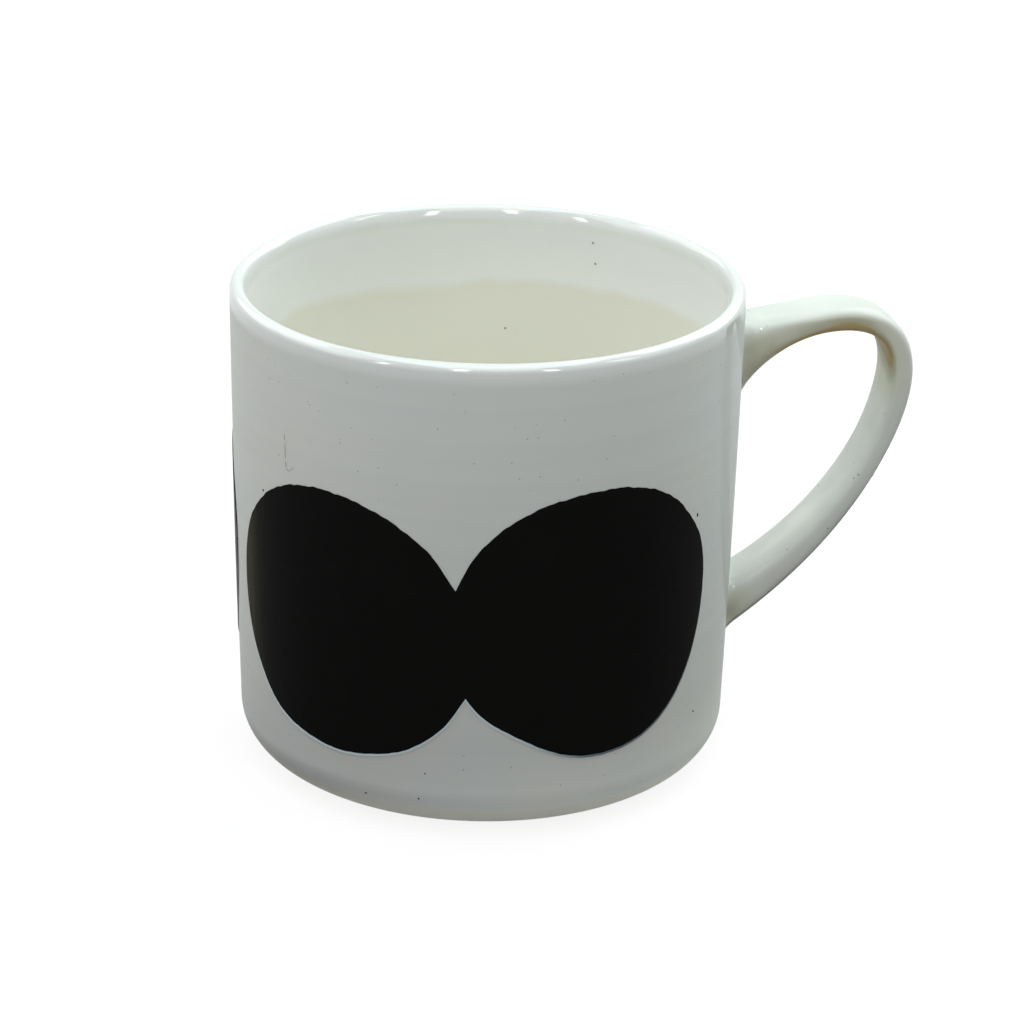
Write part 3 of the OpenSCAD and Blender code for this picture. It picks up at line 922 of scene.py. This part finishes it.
# Lamps round the mug: heading and elevation in degrees, height and width, power and colour of each.
# The four narrow ones make the glints on the rim.
LAMP_DISTANCE = 1.7
GLINT_COLOUR = (1.0, 0.985, 0.94)
LAMPS = {
    "ceiling_panel": (0, 90, 1.5, 1.5, 12.8, (0.84, 1.0, 0.965)),
    "high_front": (-100, 55, 1.0, 1.0, 3.3, (1.0, 0.98, 0.975)),
    "left": (172, 38, 1.2, 1.2, 4.6, (1.0, 0.98, 1.0)),
    "right": (-8, 38, 1.0, 1.0, 1.3, (0.94, 1.0, 0.9)),
    "back_left": (128, 35, 1.2, 1.2, 6.8, (0.96, 1.0, 0.91)),
    "back_right": (35, 35, 1.5, 1.5, 16.2, (0.925, 1.0, 0.965)),
    "glint_1": (-33, 40, 0.7, 0.16, 1.0, GLINT_COLOUR),
    "glint_2": (-74, 29, 0.75, 0.16, 1.8, GLINT_COLOUR),
    "glint_3": (-115, 36, 0.75, 0.16, 1.8, GLINT_COLOUR),
    "glint_4": (-150, 26, 0.6, 0.14, 1.2, GLINT_COLOUR),
}
# Camera, as the photograph was taken
CAMERA_PLACE = Vector((-0.1389, -0.6016, 0.2887))
CAMERA_HEADING = np.radians(-13.43)
CAMERA_PITCH = np.radians(21.88)
CAMERA_ROLL = np.radians(1.15)
CAMERA_LENS = 140.625


def seen_rays(shader):
    """1 for rays that look at the surroundings, from the camera or by way of gloss or glass."""
    path = shader.node("ShaderNodeLightPath").outputs
    seen = shader.math("MAXIMUM", path["Is Camera Ray"], path["Is Glossy Ray"])
    return shader.math("MAXIMUM", seen, path["Is Transmission Ray"])


def floor_white():
    """White to look at, with the mug's shadow. It throws light back up beside the mug and farther out."""
    material, shader, place = new_material("floor_white")
    flat = shader.scaled(place, FLOOR_SQUEEZE)
    flat = shader.node("ShaderNodeVectorMath", {0: flat, 1: FLOOR_SHIFT}, operation="SUBTRACT").outputs[0]
    radius = shader.length(flat)
    near = shader.step(radius, *FLOOR_ROUND_STEP, FLOOR_NEAR, FLOOR_ROUND)
    share = shader.math("ADD", near, shader.step(radius, *FLOOR_FAR_STEP, 0.0, FLOOR_FAR))
    thrown = shader.node("ShaderNodeBsdfDiffuse", {"Color": shader.dim(WHITE[:3], share)}).outputs[0]
    white = shader.node("ShaderNodeBsdfDiffuse", {"Color": FLOOR_WHITE}).outputs[0]
    glow = shader.node("ShaderNodeEmission", {"Strength": FLOOR_GLOW}).outputs[0]
    look = shader.node("ShaderNodeAddShader", {0: white, 1: glow}).outputs[0]
    surface = shader.node("ShaderNodeMixShader", {0: seen_rays(shader), 1: thrown, 2: look}).outputs[0]
    shader.finish("ShaderNodeOutputMaterial", surface)
    return material


def make_floor():
    """The table under the mug."""
    half = FLOOR_SIZE / 2 / MM
    corners = ((-half, -half, 0), (half, -half, 0), (half, half, 0), (-half, half, 0))
    floor = make_piece("floor", corners, [(0, 1, 2, 3)], floor_white())


def make_world():
    """White to look at, and a weak light to fill the shadows."""
    world = bpy.data.worlds.new("studio")
    bpy.context.scene.world = world
    shader = Shader(world)
    light = shader.node("ShaderNodeBackground", {"Color": WHITE, "Strength": SKY_STRENGTH}).outputs[0]
    white = shader.node("ShaderNodeBackground", {"Color": WHITE, "Strength": 1.0}).outputs[0]
    surface = shader.node("ShaderNodeMixShader", {0: seen_rays(shader), 1: light, 2: white}).outputs[0]
    shader.finish("ShaderNodeOutputWorld", surface)


def make_lamp(name, heading, elevation, height, width, power, colour):
    """A rectangular lamp that faces the mug's foot."""
    data = bpy.data.lights.new(name, "AREA")
    data.shape = "RECTANGLE"
    data.size = height
    data.size_y = width
    data.energy = power
    data.color = colour
    lamp = bpy.data.objects.new(name, data)
    turn = Matrix.Rotation(np.radians(heading), 4, "Z") @ Matrix.Rotation(np.radians(-elevation), 4, "Y")
    inwards = Matrix.Rotation(np.pi / 2, 4, "Y")
    lamp.matrix_world = turn @ Matrix.Translation((LAMP_DISTANCE, 0.0, 0.0)) @ inwards
    lamp.visible_camera = False
    bpy.context.scene.collection.objects.link(lamp)


def make_camera():
    """The photograph's camera."""
    data = bpy.data.cameras.new("camera")
    data.lens = CAMERA_LENS
    camera = bpy.data.objects.new("camera", data)
    heading = Matrix.Rotation(CAMERA_HEADING, 4, "Z")
    tilt = Matrix.Rotation(np.pi / 2 - CAMERA_PITCH, 4, "X")
    roll = Matrix.Rotation(CAMERA_ROLL, 4, "Z")
    camera.matrix_world = Matrix.Translation(CAMERA_PLACE) @ heading @ tilt @ roll
    bpy.context.scene.collection.objects.link(camera)
    bpy.context.scene.camera = camera


def place_piece(piece, node):
    """Puts a piece on the body in place of its CAD node."""
    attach(piece, "root")
    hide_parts(node)


white = cup_glaze()
handle_white = handle_glaze()
black = print_ink()
place_piece(make_cup(white), "cup_body")
place_piece(make_handle(handle_white), "handle")
upper_bead = make_bead("upper_slip_bead", UPPER_CROSSINGS, 1, handle_white)
place_piece(upper_bead, "upper_slip_joint")
lower_bead = make_bead("lower_slip_bead", LOWER_CROSSINGS, -1, handle_white)
place_piece(lower_bead, "lower_slip_joint")
place_piece(make_print("front_print_ink", FRONT_TURN, INK_SPECKS, black), "front_print")
place_piece(make_print("back_print_ink", BACK_TURN, (), black), "back_print")
for extra, slot in ((make_marks(mark_grey()), "glaze"), (make_drops(highlight_drop_glaze()), "handle_glaze")):
    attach(extra, "root")

make_floor()
make_world()
for name, lamp in LAMPS.items():
    make_lamp(name, *lamp)
make_camera()
bpy.context.scene.view_settings.view_transform = "Standard"
